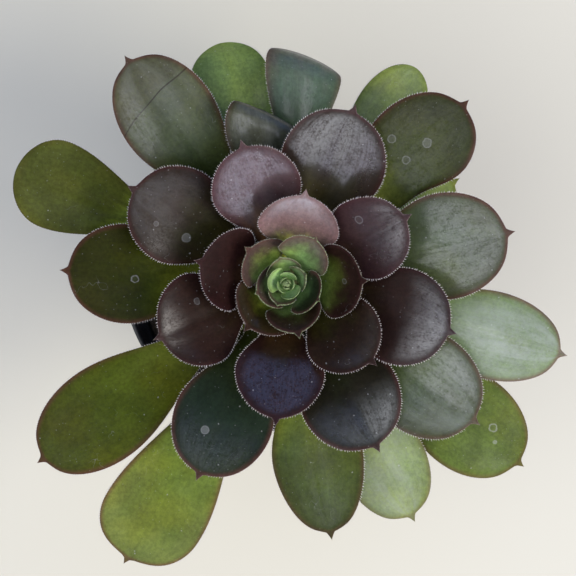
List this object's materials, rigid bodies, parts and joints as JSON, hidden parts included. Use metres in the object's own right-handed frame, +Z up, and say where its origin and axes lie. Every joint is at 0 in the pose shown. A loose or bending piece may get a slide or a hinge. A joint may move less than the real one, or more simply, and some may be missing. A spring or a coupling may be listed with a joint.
{
  "type": "potted aeonium",
  "caption": "Succulent rosette of overlapping spoon-shaped leaves, green outside and dark maroon inside, on a short stem in a round black plastic nursery pot.",
  "frame": {"origin": "middle of the pot's base, on the surface that it stands on", "axes": "+Z up through the pot; +X to the right and +Y to the top of the picture, which looks straight down"},
  "size_m": [0.1663, 0.1622, 0.1575],
  "materials": {
    "pot_plastic": "satin black moulded plastic",
    "soil": "rough damp potting soil",
    "stem_bark": "matte grey-brown bark with leaf scars",
    "leaf_green": "satin fleshy leaf with a faint bloom",
    "leaf_dark": "satin dark maroon fleshy leaf with a silvery bloom",
    "leaf_heart": "satin young leaf, green flushed with maroon"
  },
  "bodies": {
    "root": {"pot": "pot_plastic", "soil": "soil", "stem": "stem_bark", "heart": "leaf_heart", "leaf_00": "leaf_green", "leaf_02": "leaf_green", "leaf_03": "leaf_green", "leaf_04": "leaf_green", "leaf_05": "leaf_green", "leaf_06": "leaf_green", "leaf_07": "leaf_green", "leaf_08": "leaf_green", "leaf_09": "leaf_green", "leaf_10": "leaf_green", "leaf_11": "leaf_green", "leaf_12": "leaf_green", "leaf_13": "leaf_green", "leaf_14": "leaf_green", "leaf_15": "leaf_dark", "leaf_16": "leaf_dark", "leaf_17": "leaf_dark", "leaf_18": "leaf_dark", "leaf_19": "leaf_dark", "leaf_20": "leaf_dark", "leaf_21": "leaf_dark", "leaf_22": "leaf_dark", "leaf_23": "leaf_dark", "leaf_24": "leaf_dark", "leaf_25": "leaf_dark", "leaf_26": "leaf_dark", "leaf_27": "leaf_dark", "leaf_28": "leaf_dark", "leaf_29": "leaf_dark", "leaf_30": "leaf_dark", "leaf_31": "leaf_dark", "leaf_32": "leaf_heart", "leaf_33": "leaf_heart", "leaf_34": "leaf_heart", "leaf_35": "leaf_heart", "leaf_36": "leaf_heart", "leaf_37": "leaf_heart", "leaf_38": "leaf_heart", "leaf_39": "leaf_heart"}
  },
  "joints": []
}
